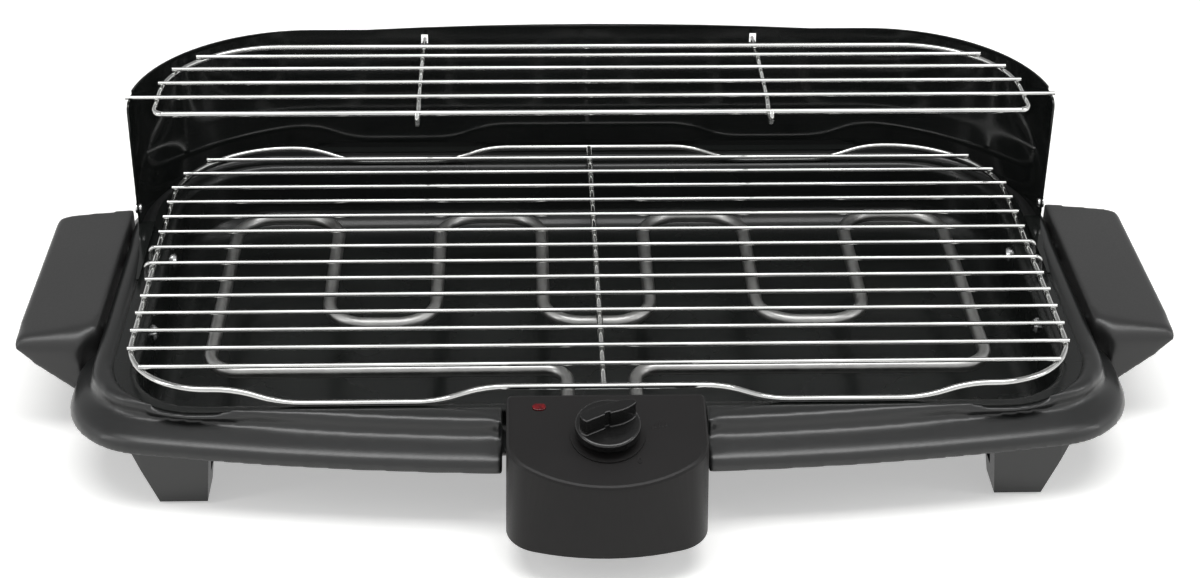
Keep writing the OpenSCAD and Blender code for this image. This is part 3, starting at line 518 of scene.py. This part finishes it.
def makeDisc(shape):
    bpy.ops.object.select_all(action="DESELECT")
    bpy.ops.mesh.primitive_cylinder_add(vertices=shape["facets"], radius=shape["skirt"] * mm,
                                        depth=(shape["under"] - shape["gap"]) * mm,
                                        location=(0, 0, (shape["under"] + shape["gap"]) / 2 * mm))
    disc = bpy.context.object
    bpy.ops.object.transform_apply(location=True, rotation=True, scale=True)
    selectFaces(disc, lambda normal: normal.z > facingUp)
    extrudeUp(hairStep)
    grown = shape["disc"] / shape["skirt"]
    bpy.ops.transform.resize(value=(grown, grown, 1))
    extrudeUp(shape["top"] - shape["under"])
    bpy.ops.mesh.inset(thickness=shape["rim"] * mm)
    bpy.ops.transform.translate(value=(0, 0, shape["raised"] * mm))
    bpy.ops.object.mode_set(mode="OBJECT")
    return disc


def makeGripBar(shape):
    outline = shape["front"] + shape["back"]
    bpy.ops.object.select_all(action="DESELECT")
    bpy.ops.mesh.primitive_circle_add(vertices=len(outline), radius=shape["disc"] * mm, fill_type="NGON",
                                      location=(0, 0, 0))
    bar = bpy.context.object
    for vertex, (x, y) in zip(bar.data.vertices, outline):
        vertex.co = Vector((x, y, shape["top"] - shape["sunk"])) * mm
    selectFaces(bar, lambda normal: True)
    extrudeUp(shape["gripTop"] - shape["top"] + shape["sunk"])
    bpy.ops.mesh.select_all(action="SELECT")
    bpy.ops.mesh.normals_make_consistent(inside=False)
    bpy.ops.object.mode_set(mode="OBJECT")
    return bar


def joinPieces(name, *pieces):
    # into the first of them
    selectOnly(*pieces)
    bpy.ops.object.join()
    pieces[0].name = name
    pieces[0].data.name = name


def makeKnob(shape):
    knob = makeDisc(shape)
    joinPieces("knobMoulding", knob, makeGripBar(shape))
    roundOver(knob, shape)
    knob.data.transform(panelMatrix(panelPlace["axle"]))
    finishPiece(knob, knobPlastic, "knob")
    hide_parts("knob")
    print("knob made,", len(knob.data.polygons), "faces")


makeKnob(knobShape)


# dial marks, moulded a hair proud of the panel: a nought and a rising row of bars
dialMarks = {
    "zero": (13.5, 41.8),           # mm right of the knob's axis, and down the panel
    "zeroSize": 4.6,
    # each bar's place, the same way, and its length
    "bars": [(19.6, 21.8, 1.8), (21.2, 21.2, 2.4), (22.8, 20.6, 3.0), (24.4, 20.0, 3.6), (26.0, 19.4, 4.2)],
    "barWidth": 0.7,
    "barEdge": 0.08,                # mm, bevel round a bar
    "proud": 0.2,
}


def makeZero(marks):
    bpy.ops.object.select_all(action="DESELECT")
    bpy.ops.object.text_add(location=(0, 0, 0))
    zero = bpy.context.object
    zero.data.body = "0"
    zero.data.size = marks["zeroSize"] * mm
    zero.data.align_x = "CENTER"
    zero.data.align_y = "CENTER"
    zero.data.extrude = marks["proud"] * mm
    bpy.ops.object.convert(target="MESH")
    zero = bpy.context.object
    across, down = marks["zero"]
    zero.data.transform(panelMatrix(down, across))
    return zero


def makeBar(marks, across, down, tall):
    bpy.ops.object.select_all(action="DESELECT")
    bpy.ops.mesh.primitive_cube_add(size=1, location=(0, 0, 0))
    bar = bpy.context.object
    bar.scale = (marks["barWidth"] * mm, tall * mm, marks["proud"] * 2 * mm)
    bpy.ops.object.transform_apply(location=True, rotation=True, scale=True)
    bpy.ops.object.mode_set(mode="EDIT")
    bpy.ops.mesh.select_all(action="SELECT")
    bpy.ops.mesh.bevel(offset=marks["barEdge"] * mm, segments=2, affect="EDGES")
    bpy.ops.object.mode_set(mode="OBJECT")
    bar.data.transform(panelMatrix(down, across))
    return bar


def makeDialMarks(marks):
    zero = makeZero(marks)
    bars = [makeBar(marks, *bar) for bar in marks["bars"]]
    joinPieces("dialMarks", zero, *bars)
    finishPiece(zero, housingPlastic, "control_unit")
    print("dial marks made")


makeDialMarks(dialMarks)


# floor, lights and world
stageLook = {
    "floor": "#f4f4f2",
    "size": 12.0,               # metres
    "cells": 4,                 # along each side
    "drop": 0.0002,             # metres below the feet
    "roughness": 0.9,
    "lift": 0.42,               # how much the floor glows to the camera and in mirrors
    "ambient": 0.30,            # how bright the room is to all else, where the camera and mirrors see 1
    "ceiling": 0.34,            # brightness overhead, where the walls are 1
    "rise": (0.62, 1.02),       # how far up the ceiling's darkness begins and is full
    "lean": 0.6,                # how much lower it comes towards the back
}


def seenStraight(owner, path):
    # 1 to the camera, in mirrors and through glass, 0 to all other rays
    seen = addNode(owner, "ShaderNodeMath",
                   links={0: path.outputs["Is Camera Ray"], 1: path.outputs["Is Glossy Ray"]},
                   operation="ADD")
    seenToo = addNode(owner, "ShaderNodeMath",
                      links={0: seen.outputs[0], 1: path.outputs["Is Transmission Ray"]},
                      operation="ADD", use_clamp=True)
    return seenToo.outputs[0]


def makeFloor(look):
    bpy.ops.object.select_all(action="DESELECT")
    bpy.ops.mesh.primitive_grid_add(x_subdivisions=look["cells"], y_subdivisions=look["cells"],
                                    size=look["size"], location=(0, 0, -look["drop"]))
    floor = bpy.context.object
    floor.name = "floor"
    bpy.ops.object.transform_apply(location=True, rotation=True, scale=True)
    material = startMaterial("paperBackdrop")
    path = addNode(material, "ShaderNodeLightPath")
    glow = addNode(material, "ShaderNodeMath", {1: look["lift"]}, {0: seenStraight(material, path)},
                   operation="MULTIPLY")
    shader = addNode(material, "ShaderNodeBsdfPrincipled",
                     {"Base Color": linear(look["floor"]), "Roughness": look["roughness"],
                      "Specular IOR Level": 0.0, "Emission Color": (1, 1, 1, 1)},
                     {"Emission Strength": glow.outputs[0]})
    endMaterial(material, shader)
    floor.data.materials.append(material)


def makeWorld(look):
    world = bpy.data.worlds.new("studio")
    bpy.context.scene.world = world
    world.use_nodes = True
    world.node_tree.nodes.clear()
    path = addNode(world, "ShaderNodeLightPath")
    strength = addNode(world, "ShaderNodeMapRange", {"To Min": look["ambient"], "To Max": 1.0},
                       {"Value": seenStraight(world, path)})
    # white walls, and a ceiling that is darker overhead and towards the back
    direction = addNode(world, "ShaderNodeTexCoord").outputs["Generated"]
    parts = addNode(world, "ShaderNodeSeparateXYZ", links={"Vector": direction})
    height = addNode(world, "ShaderNodeMath", {1: look["lean"]},
                     {0: parts.outputs["Y"], 2: parts.outputs["Z"]}, operation="MULTIPLY_ADD")
    wall = addNode(world, "ShaderNodeMapRange",
                   {"From Min": look["rise"][0], "From Max": look["rise"][1],
                    "To Min": 1.0, "To Max": look["ceiling"]},
                   {"Value": height.outputs[0]})
    # the camera itself sees plain white all round
    plain = addNode(world, "ShaderNodeMath", links={0: wall.outputs[0], 1: path.outputs["Is Camera Ray"]},
                    operation="MAXIMUM")
    grey = addNode(world, "ShaderNodeCombineColor",
                   links={0: plain.outputs[0], 1: plain.outputs[0], 2: plain.outputs[0]})
    sky = addNode(world, "ShaderNodeBackground",
                  links={"Color": grey.outputs[0], "Strength": strength.outputs[0]})
    addNode(world, "ShaderNodeOutputWorld", links={"Surface": sky.outputs[0]})


def addSoftbox(name, look):
    data = bpy.data.lights.new(name, "AREA")
    data.shape = "RECTANGLE"
    data.size, data.size_y = look["size"]
    data.energy = look["power"]
    softbox = bpy.data.objects.new(name, data)
    bpy.context.scene.collection.objects.link(softbox)
    softbox.location = look["place"]
    aim = Vector(look["target"]) - Vector(look["place"])
    softbox.rotation_euler = aim.to_track_quat("-Z", "Y").to_euler()


# places and sizes in metres, power in watts
lightLooks = {
    "topLight": {"place": (0, -0.2, 1.65), "target": (0, 0, 0), "size": (1.8, 0.75), "power": 24},
    "leftLight": {"place": (-1.5, -0.5, 0.9), "target": (0, 0, 0.05), "size": (0.25, 1.1), "power": 4},
    "rightLight": {"place": (1.5, -0.4, 0.9), "target": (0, 0, 0.05), "size": (0.25, 1.1), "power": 4},
}
makeFloor(stageLook)
makeWorld(stageLook)
for name, look in lightLooks.items():
    addSoftbox(name, look)
bpy.context.scene.view_settings.view_transform = "Standard"
print("stage and lights set")
